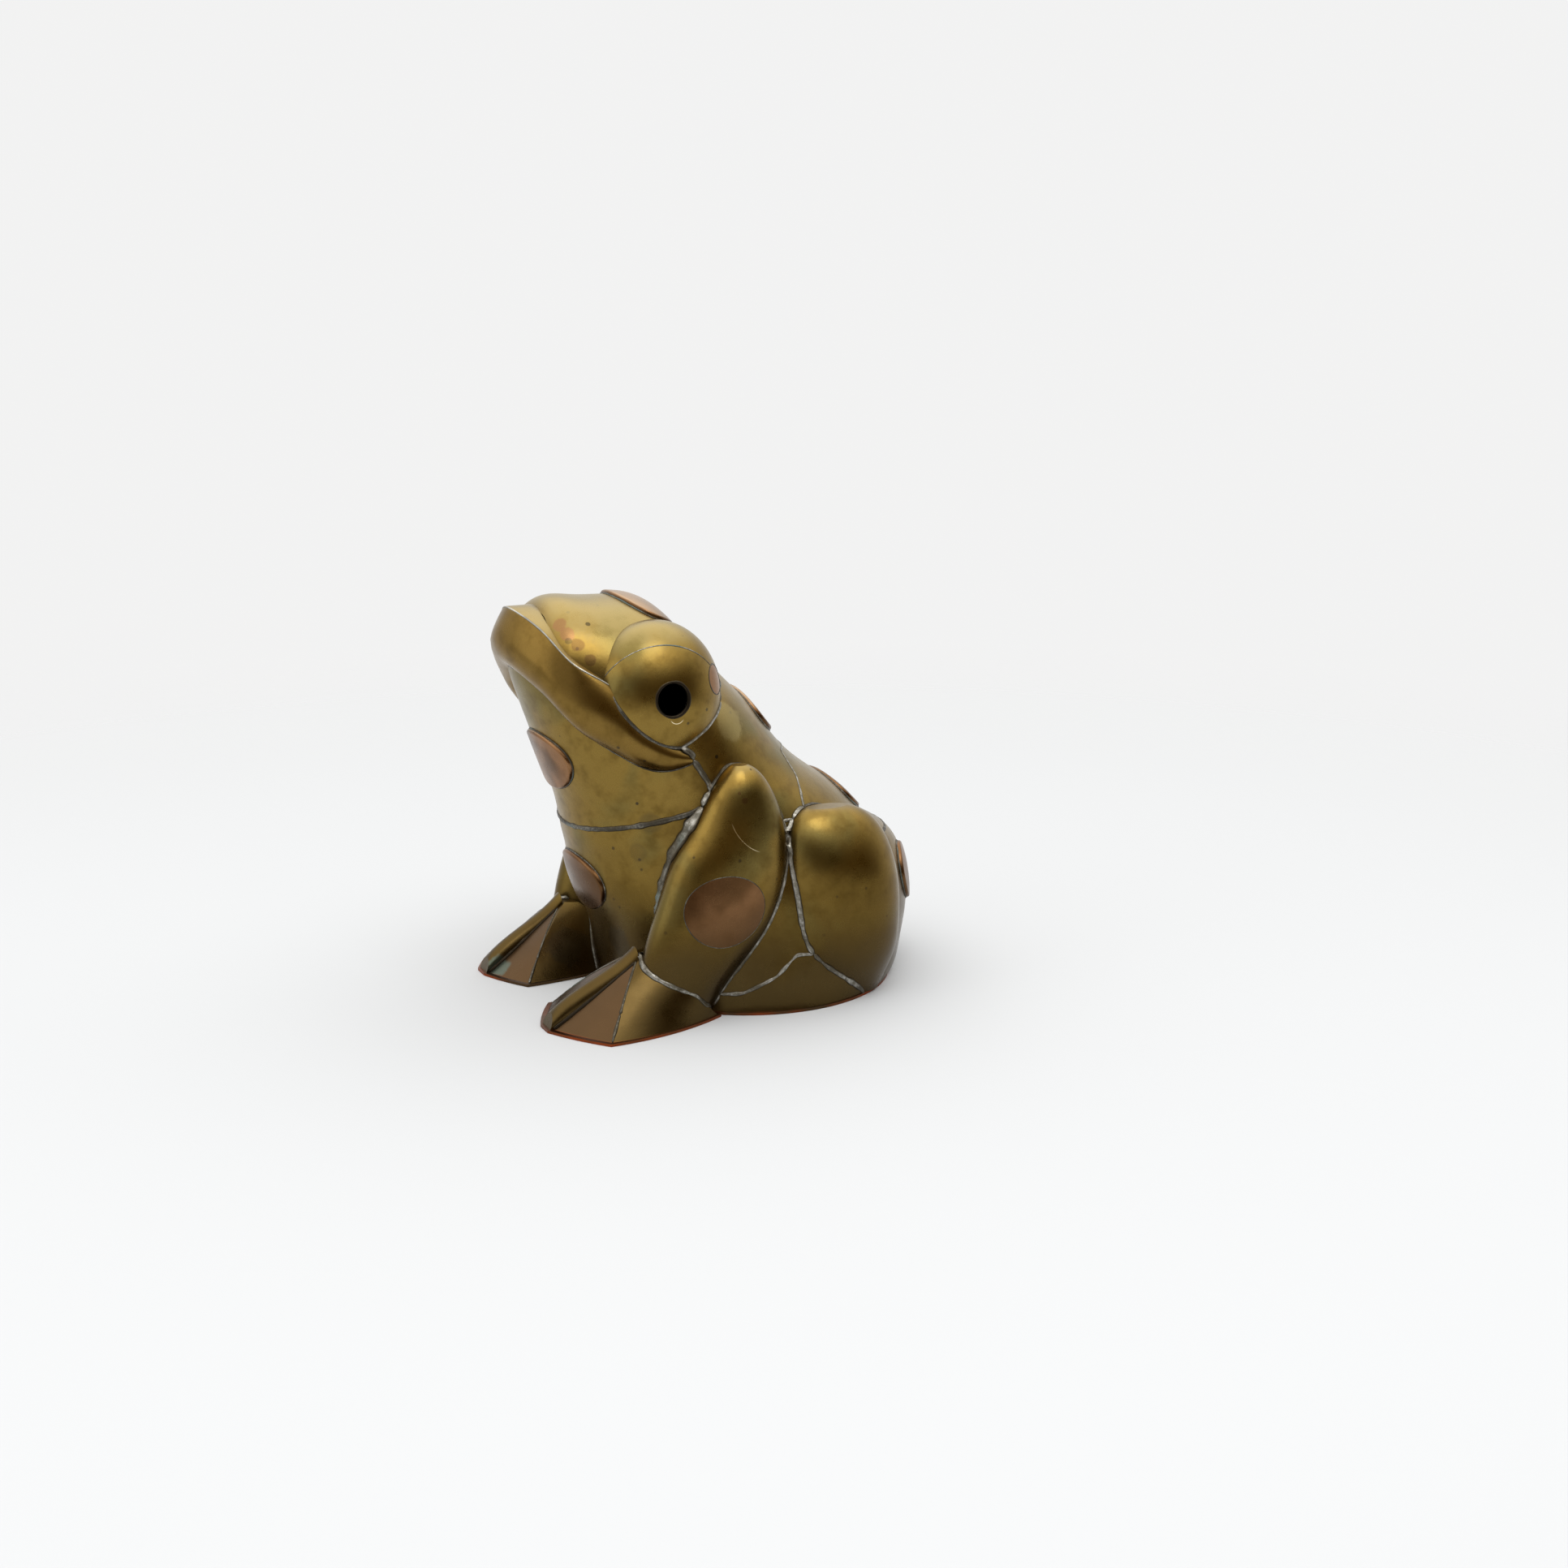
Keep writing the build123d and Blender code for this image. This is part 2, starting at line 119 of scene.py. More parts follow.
# Rounds of smoothing a seam's line and of turning its ways up
SMOOTH_ROUNDS = 3
UP_ROUNDS = 2

# Half width of the solder in millimetres, and its kind, by the two sheets that meet. The edge of a pupil
# meets none, so it is open there
SEAMS = {
    ("chest", "throat"): (1.1, "dark"),
    ("chest", "foreleg"): (2.4, "bright"),
    ("foreleg", "throat"): (1.3, "bright"),
    ("chest", "foot_side_inner"): (0.6, "dark"),
    ("foreleg", "gusset"): (0.8, "bright"),
    ("gusset", "nape"): (0.9, "bright"),
    ("gusset", "skirt"): (0.8, "bright"),
    ("gusset", "thigh"): (1.1, "bright"),
    ("nape", "thigh"): (1.1, "bright"),
    ("head_top", "nape"): (0.6, "dark"),
    ("back_panel", "nape"): (0.6, "bright"),
    ("eyeball", "nape"): (0.7, "bright"),
    ("eyelid", "nape"): (0.6, "dark"),
    ("foreleg", "nape"): (0.8, "dark"),
    ("lip", "nape"): (1.2, "bright"),
    ("nape", "nape"): (0.6, "dark"),
    ("nape", "throat"): (1.2, "bright"),
    ("back_panel", "rump"): (0.7, "dark"),
    ("back_panel", "thigh"): (0.8, "dark"),
    ("rump", "rump"): (0.7, "dark"),
    ("rump", "thigh"): (0.8, "bright"),
    ("foreleg", "skirt"): (0.8, "bright"),
    ("skirt", "thigh"): (1.0, "bright"),
    ("lip", "throat"): (0.4, "dark"),
    ("eyeball", "lip"): (0.65, "dark"),
    ("eyeball", "eyelid"): (0.28, "bright"),
    ("eye_patch", "eyeball"): (0.3, "dark"),
    ("eye_patch", "eyelid"): (0.3, "dark"),
    ("foot_side_outer", "foreleg"): (1.0, "bright"),
    ("foot_side_outer", "web_outer"): (0.55, "dark"),
    ("foot_side_inner", "web_inner"): (0.55, "dark"),
    # Painted shade: near-black beads in the grooves where the webs dip under the toe ridges
    ("toe_ridge", "web_outer"): (0.55, "soot"),
    ("toe_ridge", "web_inner"): (0.55, "soot"),
    ("foreleg", "foreleg_oval"): (0.2, "dark"),
    ("eyeball", "open"): (0.6, "soot"),
    ("nape", "nape_spot"): (0.35, "dark"),
    ("throat", "throat_spot"): (0.35, "dark"),
    ("chest", "chest_spot"): (0.35, "dark"),
    ("back_panel", "back_spot"): (0.35, "dark"),
    ("crown_spot", "head_top"): (0.35, "dark"),
    ("rump", "rump_spot"): (0.35, "dark"),
}

# Places across a bead, and back under it, as shares of its half width
SECTION = (-1.0, -0.75, -0.4, 0.0, 0.4, 0.75, 1.0)
UNDERSIDE = (0.6, -0.6)
# Least and greatest height of the sheets under a bead, and its own roughness, as shares of its half width
DEEPEST = -2.5
HIGHEST = 1.5
ROUGHNESS = 0.10
# Share of its width that a bead keeps at an open end, and its long waves: their length in lumps, their seed
TIP_SHARE = 0.35
WAVE_LUMPS = 5
WAVE_SEED = 7.0
SOLDER_CLOUD = 14 * MM
SOLDER_GRAIN = 1.3 * MM
BLOOM_GAP = 22 * MM

# Lip band from its middle to one end, in millimetres: turn in degrees, across, along, height, half depth,
# half height, how far out its upper edge lies for the half depth, and how crisp that edge is
LIP_ROWS = (
    (0.0, 0.0, -73.1, 135.5, 8.2, 10.9, 0.35, 1.0),
    (27.0, 17.5, -67.7, 128.9, 7.9, 12.1, 0.50, 1.0),
    (46.0, 27.5, -59.7, 117.5, 8.0, 12.4, 0.72, 1.0),
    (64.0, 33.5, -49.1, 109.2, 8.2, 11.8, 0.78, 0.55),
    (76.0, 36.5, -41.6, 101.6, 8.0, 9.0, 0.78, 0.0),
    (84.0, 38.5, -32.6, 96.2, 6.4, 6.1, 0.78, 0.0),
    (90.0, 39.5, -23.7, 94.2, 4.5, 2.8, 0.78, 0.0),
)
LIP_STEPS = 14
# Heights up the band's face, and how much the face bends, for the half height
LIP_FACE_HEIGHTS = (0.0, 0.2, 0.4, 0.6, 0.75, 0.87, 0.95, 1.0)
LIP_FACE_BEND = 1.4
# Depth and height of the points behind the upper edge, where it is round and where it is crisp
LIP_OVAL = ((-0.15, 0.985), (-0.5, 0.87), (-0.68, 0.733), (-0.85, 0.527))
LIP_LEDGE = ((-0.45, 1.035), (-0.8, 1.05), (-1.0, 0.93))
# The painted highlight along the upper edge: its half width, its seed, and how crisp the band has to be for
# it
LIP_EDGE = 0.45 * MM
LIP_EDGE_SEED = 3.0
CRISP_ENOUGH = 0.3

# The studio, in metres, with the sensor's width in millimetres
SENSOR_WIDTH = 36
FLOOR_SIDES = 96
FLOOR_DROP = 0.05 * MM
LAMP_AIM = (0.0, 0.0, 0.06)
OVERHEAD_PLACE = (0.50, -0.05, 0.95)
OVERHEAD_SIZE = 0.5
SIDE_PLACE = (0.05, -1.1, 0.45)
SIDE_SIZE = 0.7


# The sizes and colours that can be set


class FrogMetalSettings(bpy.types.PropertyGroup):
    """Colours of the sheets and the scale of what the years have left on them."""

    brass: bpy.props.FloatVectorProperty(
        name="Brass", description="Colour of the satin brass",
        subtype="COLOR", size=3, min=0.0, max=1.0, default=(0.240, 0.156, 0.037),
    )
    brass_brown: bpy.props.FloatVectorProperty(
        name="Brown brass", description="Colour of the brass under a brown tarnish",
        subtype="COLOR", size=3, min=0.0, max=1.0, default=(0.095, 0.055, 0.010),
    )
    brass_olive: bpy.props.FloatVectorProperty(
        name="Olive brass", description="Colour of the brass under an olive tarnish",
        subtype="COLOR", size=3, min=0.0, max=1.0, default=(0.180, 0.136, 0.041),
    )
    brass_red: bpy.props.FloatVectorProperty(
        name="Reddish brass", description="Colour of the brass of the lip",
        subtype="COLOR", size=3, min=0.0, max=1.0, default=(0.205, 0.126, 0.031),
    )
    # Painted light on the brass's top and on the nape, where the light falls
    brass_pale: bpy.props.FloatVectorProperty(
        name="Pale brass", description="Colour of the brass on top, where hands have rubbed it",
        subtype="COLOR", size=3, min=0.0, max=1.0, default=(0.43, 0.335, 0.140),
    )
    copper: bpy.props.FloatVectorProperty(
        name="Copper", description="Colour of the dull copper",
        subtype="COLOR", size=3, min=0.0, max=1.0, default=(0.26, 0.134, 0.060),
    )
    # Painted light on the copper's top, where the light from above falls
    copper_pale: bpy.props.FloatVectorProperty(
        name="Pale copper", description="Colour of the copper on top, where hands have rubbed it",
        subtype="COLOR", size=3, min=0.0, max=1.0, default=(0.55, 0.39, 0.25),
    )
    copper_brown: bpy.props.FloatVectorProperty(
        name="Brown copper", description="Colour of the copper under tarnish",
        subtype="COLOR", size=3, min=0.0, max=1.0, default=(0.11, 0.055, 0.022),
    )
    # Dark colour of the dirt in the pits and on the solder, and of the painted shade in the creases, low down
    # and under the chest
    grime: bpy.props.FloatVectorProperty(
        name="Grime", description="Colour of the dirt that gathers in the creases",
        subtype="COLOR", size=3, min=0.0, max=1.0, default=(0.055, 0.044, 0.026),
    )
    rim: bpy.props.FloatVectorProperty(
        name="Bare rim", description="Colour of the bare copper along the bottom edge",
        subtype="COLOR", size=3, min=0.0, max=1.0, default=(0.28, 0.060, 0.018),
    )
    scratch: bpy.props.FloatVectorProperty(
        name="Scratch", description="Colour of the bare metal in a scratch",
        subtype="COLOR", size=3, min=0.0, max=1.0, default=(0.85, 0.74, 0.48),
    )
    bloom: bpy.props.FloatVectorProperty(
        name="Bloom", description="Colour of the blue-green stains",
        subtype="COLOR", size=3, min=0.0, max=1.0, default=(0.10, 0.15, 0.13),
    )
    # How far the painted shade reaches out of a crease
    crease_reach: bpy.props.FloatProperty(
        name="Crease reach", description="How far the dirt reaches out of a crease",
        unit="LENGTH", min=0.0005, max=0.02, default=0.005,
    )
    patch_size: bpy.props.FloatProperty(
        name="Patch size", description="Width of a cloud of tarnish",
        unit="LENGTH", min=0.002, max=0.1, default=0.028,
    )
    mottle_size: bpy.props.FloatProperty(
        name="Mottle size", description="Width of a small stain",
        unit="LENGTH", min=0.001, max=0.02, default=0.0065,
    )
    grain_size: bpy.props.FloatProperty(
        name="Grain size", description="Width of the finest unevenness of the surface",
        unit="LENGTH", min=0.0001, max=0.005, default=0.0009,
    )


class FrogSolderSettings(bpy.types.PropertyGroup):
    """Sizes and colours of the solder along the seams."""

    bright: bpy.props.FloatVectorProperty(
        name="Bright solder", description="Colour of rubbed solder",
        subtype="COLOR", size=3, min=0.0, max=1.0, default=(0.47, 0.46, 0.43),
    )
    dull: bpy.props.FloatVectorProperty(
        name="Dull solder", description="Colour of aged solder",
        subtype="COLOR", size=3, min=0.0, max=1.0, default=(0.21, 0.20, 0.165),
    )
    # Painted highlight along the lip's upper edge
    rubbed: bpy.props.FloatVectorProperty(
        name="Rubbed edge", description="Colour of the lip's upper edge, rubbed bare",
        subtype="COLOR", size=3, min=0.0, max=1.0, default=(0.80, 0.74, 0.60),
    )
    burnt: bpy.props.FloatVectorProperty(
        name="Burnt edge", description="Colour of the metal beside a bead",
        subtype="COLOR", size=3, min=0.0, max=1.0, default=(0.055, 0.042, 0.024),
    )
    dark: bpy.props.FloatVectorProperty(
        name="Dark solder", description="Colour of solder that was never rubbed",
        subtype="COLOR", size=3, min=0.0, max=1.0, default=(0.085, 0.080, 0.070),
    )
    # Near-black: soot round the pupils, and painted shade in the grooves beside the toe ridges
    soot: bpy.props.FloatVectorProperty(
        name="Soot", description="Colour of the burnt flux at the pupils and the toe ridges",
        subtype="COLOR", size=3, min=0.0, max=1.0, default=(0.022, 0.016, 0.010),
    )
    verdigris: bpy.props.FloatVectorProperty(
        name="Verdigris", description="Colour of the blue-green bloom",
        subtype="COLOR", size=3, min=0.0, max=1.0, default=(0.10, 0.16, 0.15),
    )
    step: bpy.props.FloatProperty(
        name="Step", description="Distance from one ring of a bead to the next",
        unit="LENGTH", min=0.0002, max=0.005, default=0.0007,
    )
    height_share: bpy.props.FloatProperty(
        name="Height share", description="Height of a bead for its half width",
        subtype="FACTOR", min=0.05, max=1.5, default=0.42,
    )
    fill: bpy.props.FloatProperty(
        name="Fill", description="How far a bead fills the hollow it lies in",
        subtype="FACTOR", min=0.0, max=1.0, default=0.75,
    )
    lump_size: bpy.props.FloatProperty(
        name="Lump size", description="Length of a lump along a bead",
        unit="LENGTH", min=0.0005, max=0.05, default=0.004,
    )
    lump_share: bpy.props.FloatProperty(
        name="Lump share", description="How much a bead swells and thins for its half width",
        subtype="FACTOR", min=0.0, max=0.9, default=0.45,
    )


class FrogStageSettings(bpy.types.PropertyGroup):
    """The camera, the floor and the lamps."""

    camera_place: bpy.props.FloatVectorProperty(
        name="Camera place", description="Where the camera stands",
        subtype="TRANSLATION", unit="LENGTH", size=3, default=(0.659307, -0.296775, 0.2396),
    )
    camera_aim: bpy.props.FloatVectorProperty(
        name="Camera aim", description="The way the camera looks",
        subtype="DIRECTION", size=3, default=(-0.87130, 0.43702, -0.22325),
    )
    lens: bpy.props.FloatProperty(
        name="Lens", description="Focal length on a 36 mm wide sensor, in millimetres",
        unit="CAMERA", min=10.0, max=200.0, default=44.72,
    )
    floor_colour: bpy.props.FloatVectorProperty(
        name="Floor", description="Colour of the pale floor",
        subtype="COLOR", size=3, min=0.0, max=1.0, default=(0.605, 0.627, 0.657),
    )
    floor_radius: bpy.props.FloatProperty(
        name="Floor radius", description="How far the floor reaches before it fades out",
        unit="LENGTH", min=0.3, max=5.0, default=0.9,
    )
    backdrop: bpy.props.FloatVectorProperty(
        name="Backdrop", description="Colour of the seamless backdrop",
        subtype="COLOR", size=3, min=0.0, max=1.0, default=(0.89, 0.89, 0.888),
    )
    overhead_power: bpy.props.FloatProperty(
        name="Overhead power", description="Power of the large lamp overhead, in watts",
        unit="POWER", min=0.0, max=500.0, default=1.9,
    )
    side_power: bpy.props.FloatProperty(
        name="Side power", description="Power of the lamp at the frog's face, in watts",
        unit="POWER", min=0.0, max=500.0, default=1.1,
    )
    room_light: bpy.props.FloatProperty(
        name="Room light", description="Strength of the plain light all round",
        min=0.0, max=2.0, default=1.0,
    )
    room: bpy.props.FloatVectorProperty(
        name="Room", description="Colour of the pale paper round the frog",
        subtype="COLOR", size=3, min=0.0, max=1.0, default=(0.90, 0.89, 0.87),
    )
    ceiling: bpy.props.FloatVectorProperty(
        name="Ceiling", description="Colour of the wide light from above",
        subtype="COLOR", size=3, min=0.0, max=4.0, default=(1.75, 1.70, 1.62),
    )
    dim: bpy.props.FloatVectorProperty(
        name="Dim side", description="Colour of the unlit side of the room",
        subtype="COLOR", size=3, min=0.0, max=1.0, default=(0.105, 0.060, 0.004),
    )
    dim_side: bpy.props.FloatVectorProperty(
        name="Way to the dim side", description="Where the room is unlit",
        subtype="DIRECTION", size=3, default=(0.92, -0.25, 0.0),
    )


# Node trees


class Shade:
    """A node tree, of a new material or of the world, built one node at a time."""

    def __init__(self, name, tree=None):
        if tree is None:
            self.material = bpy.data.materials.new(name)
            self.material.use_nodes = True
            tree = self.material.node_tree
        self.tree = tree
        tree.nodes.clear()

    def add(self, kind, inputs=None, out=0, **settings):
        """A node with its settings made and its inputs set or linked; gives back one of its outputs."""
        node = self.tree.nodes.new(kind)
        for key, value in settings.items():
            setattr(node, key, value)
        for key, value in (inputs or {}).items():
            if isinstance(value, bpy.types.NodeSocket):
                self.tree.links.new(value, node.inputs[key])
            else:
                node.inputs[key].default_value = value
        return node.outputs[out] if node.outputs else None

    def maths(self, how, first, second=0.0):
        """What one operation makes of two values."""
        return self.add("ShaderNodeMath", {0: first, 1: second}, operation=how)

    def plus(self, value, other, share):
        """A value with a share of another added to it."""
        return self.maths("ADD", value, self.maths("MULTIPLY", other, share))

    def blend(self, share, first, second):
        """Colour second over colour first by a share."""
        first, second = [
            colour if isinstance(colour, bpy.types.NodeSocket) else (*colour, 1.0)
            for colour in (first, second)
        ]
        inputs = {MIX_SHARE: share, MIX_FIRST: first, MIX_SECOND: second}
        return self.add("ShaderNodeMix", inputs, MIX_RESULT, data_type="RGBA")

    def between(self, value, low, high, to_low=0.0, to_high=1.0):
        """A value spread from one range to another, smoothly."""
        return self.add(
            "ShaderNodeMapRange",
            {"Value": value, "From Min": low, "From Max": high, "To Min": to_low, "To Max": to_high},
            interpolation_type="SMOOTHSTEP",
        )

    def axis(self, vector, name):
        """One of a vector's three numbers."""
        return self.add("ShaderNodeSeparateXYZ", {0: vector}, name)

    def distance(self, where, place):
        """How far each point lies from a place that is given in millimetres."""
        inputs = {0: where, 1: Vector(place) * MM}
        return self.add("ShaderNodeVectorMath", inputs, "Value", operation="DISTANCE")

    def clouds(self, where, size, detail=3.0, roughness=0.55, distortion=0.0):
        """Noise whose blots are about size wide."""
        inputs = {"Vector": where, "Scale": 1.0 / size, "Detail": detail}
        inputs.update({"Roughness": roughness, "Distortion": distortion})
        return self.add("ShaderNodeTexNoise", inputs)

    def bumps(self, *layers):
        """Unevenness in layers, each with its height, its strength and its depth in millimetres."""
        inputs = {}
        for height, strength, depth in layers:
            inputs.update({"Height": height, "Strength": strength, "Distance": depth * MM})
            inputs["Normal"] = self.add("ShaderNodeBump", inputs)
        return inputs["Normal"]

    def finish(self, colour, metallic, rough, bump):
        """The material, with its metal surface joined to its output."""
        surface = self.add(
            "ShaderNodeBsdfPrincipled",
            {"Base Color": colour, "Metallic": metallic, "Roughness": rough, "Normal": bump},
        )
        self.add("ShaderNodeOutputMaterial", {"Surface": surface})
        return self.material


def aged_metal(name, settings, bright, dull, other, pale, marks):
    """Satin metal with tarnish, stains and pits, painted shade in creases and low down, and painted light on
    top.
    """
    shade = Shade(name)
    where = shade.add("ShaderNodeTexCoord", out="Object")
    wide = shade.clouds(where, settings.patch_size, 2.0, 0.5, 0.3)
    mottle = shade.clouds(where, settings.mottle_size, 5.0, 0.6)
    grain = shade.clouds(where, settings.grain_size, 2.0, 0.6)
    # Clouds of tarnish with small stains over them
    colour = shade.blend(shade.between(wide, 0.42, 0.62), bright, other)
    colour = shade.blend(shade.between(mottle, 0.42, 0.80, 0.0, 0.6), colour, dull)
    # Painted shade in the creases, darker where less of the room is open to a point, which also makes them
    # rougher, and dirt in scattered pits
    reach = {"Distance": settings.crease_reach}
    open_air = shade.add("ShaderNodeAmbientOcclusion", reach, "AO", samples=CREASE_RAYS, only_local=False)
    crease_shade_and_dirt = shade.between(shade.plus(open_air, mottle, 0.35), 1.02, 0.55)
    colour = shade.blend(shade.maths("MULTIPLY", crease_shade_and_dirt, 0.85), colour, settings.grime)
    pits = shade.add("ShaderNodeTexVoronoi", {"Vector": where, "Scale": 1.0 / PIT_GAP})
    pits = shade.between(shade.plus(pits, mottle, 0.08), 0.13, 0.09)
    colour = shade.blend(shade.maths("MULTIPLY", pits, 0.75), colour, settings.grime)
    # Darker in steps towards the bottom, as painted shade for the dimmer light low on the frog, and bare
    # along the bottom edge
    up = shade.axis(where, "Z")
    low = shade.plus(up, wide, 40 * MM)
    steps = ((105, 25, 0.65, dull), (68, 42, 0.85, dull), (62, 34, 0.45, settings.grime))
    for start, full, share, tint in steps:
        colour = shade.blend(shade.between(low, start * MM, full * MM, 0.0, share), colour, tint)
    rim = shade.between(up, 1.3 * MM, 0.6 * MM)
    rim = shade.maths("MULTIPLY", rim, shade.between(wide, 0.40, 0.60))
    colour = shade.blend(rim, colour, settings.rim)
    # Painted light: paler where it faces up, high on the frog, where the light from above falls
    facing_up = shade.axis(shade.add("ShaderNodeNewGeometry", out="Normal"), "Z")
    rubbed = shade.between(shade.plus(facing_up, mottle, 0.4), 0.70, 1.20, 0.0, 0.75)
    rubbed = shade.maths("MULTIPLY", rubbed, shade.between(up, 60 * MM, 110 * MM))
    colour = shade.blend(rubbed, colour, pale)
    # Single stains, with the painted shade and painted light among them, and scratches
    for place, reach, tint, share in marks:
        away = shade.plus(shade.distance(where, place), mottle, reach * MM)
        inside = shade.between(away, 1.4 * reach * MM, 1.1 * reach * MM, 0.0, share)
        colour = shade.blend(inside, colour, tint)
    for centre, radius, middle, reach in SCRATCHES:
        away = shade.maths("SUBTRACT", shade.distance(where, centre), radius * MM)
        line = shade.between(shade.maths("ABSOLUTE", away), SCRATCH_WIDTH, 0.5 * SCRATCH_WIDTH)
        near = shade.between(shade.distance(where, middle), reach * MM, 0.6 * reach * MM)
        colour = shade.blend(shade.maths("MULTIPLY", line, near), colour, settings.scratch)
    rough = shade.plus(shade.plus(0.18, mottle, 0.22), crease_shade_and_dirt, 0.25)
    bump = shade.bumps((wide, 0.25, 1.2), (mottle, 0.22, 0.25), (grain, 0.18, 0.05))
    return shade.finish(colour, 1.0, rough, bump)


def solder_metal(name, settings, bright, dull, grime):
    """Solder, bright on its crests and dirty between, burnt at its sides and blue-green in places."""
    shade = Shade(name)
    where = shade.add("ShaderNodeTexCoord", out="Object")
    wide = shade.clouds(where, SOLDER_CLOUD, 3.0, 0.6, 0.5)
    fine = shade.clouds(where, SOLDER_GRAIN, 4.0, 0.65, 0.6)
    colour = shade.blend(shade.between(shade.plus(fine, wide, 0.5), 0.66, 0.98), dull, bright)
    colour = shade.blend(shade.between(wide, 0.56, 0.40, 0.0, 0.7), colour, grime)
    bloom = shade.between(shade.clouds(where, BLOOM_GAP, 2.0, 0.5), 0.60, 0.70)
    colour = shade.blend(shade.maths("MULTIPLY", bloom, 0.6), colour, settings.verdigris)
    burnt = shade.add("ShaderNodeAttribute", attribute_name="rim", out="Fac")
    burnt = shade.between(shade.plus(burnt, fine, 0.5), 0.72, 1.02)
    colour = shade.blend(shade.maths("MULTIPLY", burnt, 0.85), colour, settings.burnt)
    metallic = shade.maths("SUBTRACT", 0.9, shade.maths("MULTIPLY", bloom, 0.7))
    rough = shade.between(fine, 0.35, 0.7, 0.55, 0.28)
    return shade.finish(colour, metallic, rough, shade.bumps((fine, 0.5, 0.15)))


# Seams: found on the sheets where one ends against the next


def welded(item):
    """Corner points and triangles of a sheet, with the points that its faces share made one."""
    mesh = item.data
    mesh.calc_loop_triangles()
    places = np.empty(len(mesh.vertices) * 3, dtype=np.float32)
    mesh.vertices.foreach_get("co", places)
    corners = np.empty(len(mesh.loop_triangles) * 3, dtype=np.int32)
    mesh.loop_triangles.foreach_get("vertices", corners)
    points, same = np.unique(places.reshape(-1, 3), axis=0, return_inverse=True)
    return points.astype(float), same.ravel()[corners].reshape(-1, 3)


def unit(rows):
    """Each row made one long."""
    return rows / np.maximum(np.linalg.norm(rows, axis=1), TINY)[:, None]


def square_to(rows, onward):
    """Each row turned at right angles to the way onward, and made one long."""
    return unit(rows - onward * (rows * onward).sum(axis=1)[:, None])


def sharp_edges(points, triangles):
    """Edges where two faces meet at an angle, each with the two faces' normals."""
    corners = points[triangles]
    normals = unit(np.cross(corners[:, 1] - corners[:, 0], corners[:, 2] - corners[:, 0]))
    ends = np.sort(triangles[:, [0, 1, 1, 2, 2, 0]].reshape(-1, 2), axis=1)
    face = np.repeat(np.arange(len(triangles)), 3)
    order = np.lexsort((ends[:, 1], ends[:, 0]))
    ends = ends[order]
    face = face[order]
    pair = np.nonzero((ends[1:] == ends[:-1]).all(axis=1))[0]
    first = normals[face[pair]]
    second = normals[face[pair + 1]]
    sharp = (first * second).sum(axis=1) < math.cos(LEAST_TURN)
    return ends[pair][sharp], first[sharp], second[sharp]


class Sheets:
    """All the sheets as one surface that can be looked at from outside."""

    def __init__(self, nodes):
        self.parts = {name: welded(item) for name, item in sorted(nodes.items())}
        self.owner = []
        points = []
        triangles = []
        count = 0
        for name, (places, corners) in self.parts.items():
            points.append(places)
            triangles.append(corners + count)
            self.owner += [name] * len(corners)
            count += len(places)
        points = np.concatenate(points).tolist()
        self.tree = BVHTree.FromPolygons(points, np.concatenate(triangles).tolist())

    def way_out(self, point, first, second):
        """A direction in which a point of an edge is open to view, or None."""
        for way in (first + second, first - second, second - first, first, second):
            if way.length > SHORT:
                way = way.normalized()
                if self.tree.ray_cast(point + way * SKIN, way)[0] is None:
                    return way
        return None

    def neighbour(self, point, name):
        """The other sheet that touches a point of this one, or None."""
        found = self.tree.find_nearest_range(point, TOUCH)
        near = [(distance, self.owner[face]) for _, _, face, distance in found]
        others = [(distance, other) for distance, other in near if other != name]
        return min(others)[1] if others else None

    def level(self, point, up):
        """Height of the outer surface over a point, and its normal."""
        place, normal, _, _ = self.tree.ray_cast(point + up * PROBE, -up, 2 * PROBE)
        if place is None:
            return 0.0, up
        return (place - point).dot(up), normal if normal.dot(up) > 0 else -normal

    def seams(self):
        """Runs of points with the ways out from them, by the two sheets that meet there."""
        found = {}
        for name, (points, triangles) in self.parts.items():
            for (start, end), first, second in zip(*sharp_edges(points, triangles)):
                middle = Vector((points[start] + points[end]) / 2)
                other = self.neighbour(middle, name) or "open"
                way = self.way_out(middle, Vector(first), Vector(second))
                if way is not None:
                    found.setdefault((name, other), []).append((start, end, way))
        lengths = {}
        for (name, other), edges in found.items():
            points = self.parts[name][0]
            lengths[name, other] = sum(np.linalg.norm(points[a] - points[b]) for a, b, _ in edges)
        # Both sheets have the seam on their edge: it is kept once, from the one that has more of it
        seams = {}
        for (name, other), edges in found.items():
            more = lengths[name, other] - lengths.get((other, name), 0.0)
            if more > 0.0 or (more == 0.0 and name < other):
                seams[name, other] = runs_of(edges, self.parts[name][0])
        return seams


def runs_of(edges, points):
    """Edges joined end to end into runs of (point, way out)."""
    meeting = {}
    ways = {}
    for index, (start, end, way) in enumerate(edges):
        for corner in (start, end):
            meeting.setdefault(corner, []).append(index)
            ways[corner] = ways.get(corner, Vector()) + way
    ends = [corner for corner in meeting if len(meeting[corner]) != 2]
    runs = []
    used = set()
    for start in ends + list(meeting):
        for first in meeting[start]:
            if first in used:
                continue
            run = [start]
            here = start
            edge = first
            while edge is not None:
                used.add(edge)
                here = edges[edge][1] if edges[edge][0] == here else edges[edge][0]
                run.append(here)
                onward = [index for index in meeting[here] if index not in used]
                edge = onward[0] if onward and len(meeting[here]) == 2 else None
            runs.append([(points[corner], ways[corner].normalized()) for corner in run])
    return runs


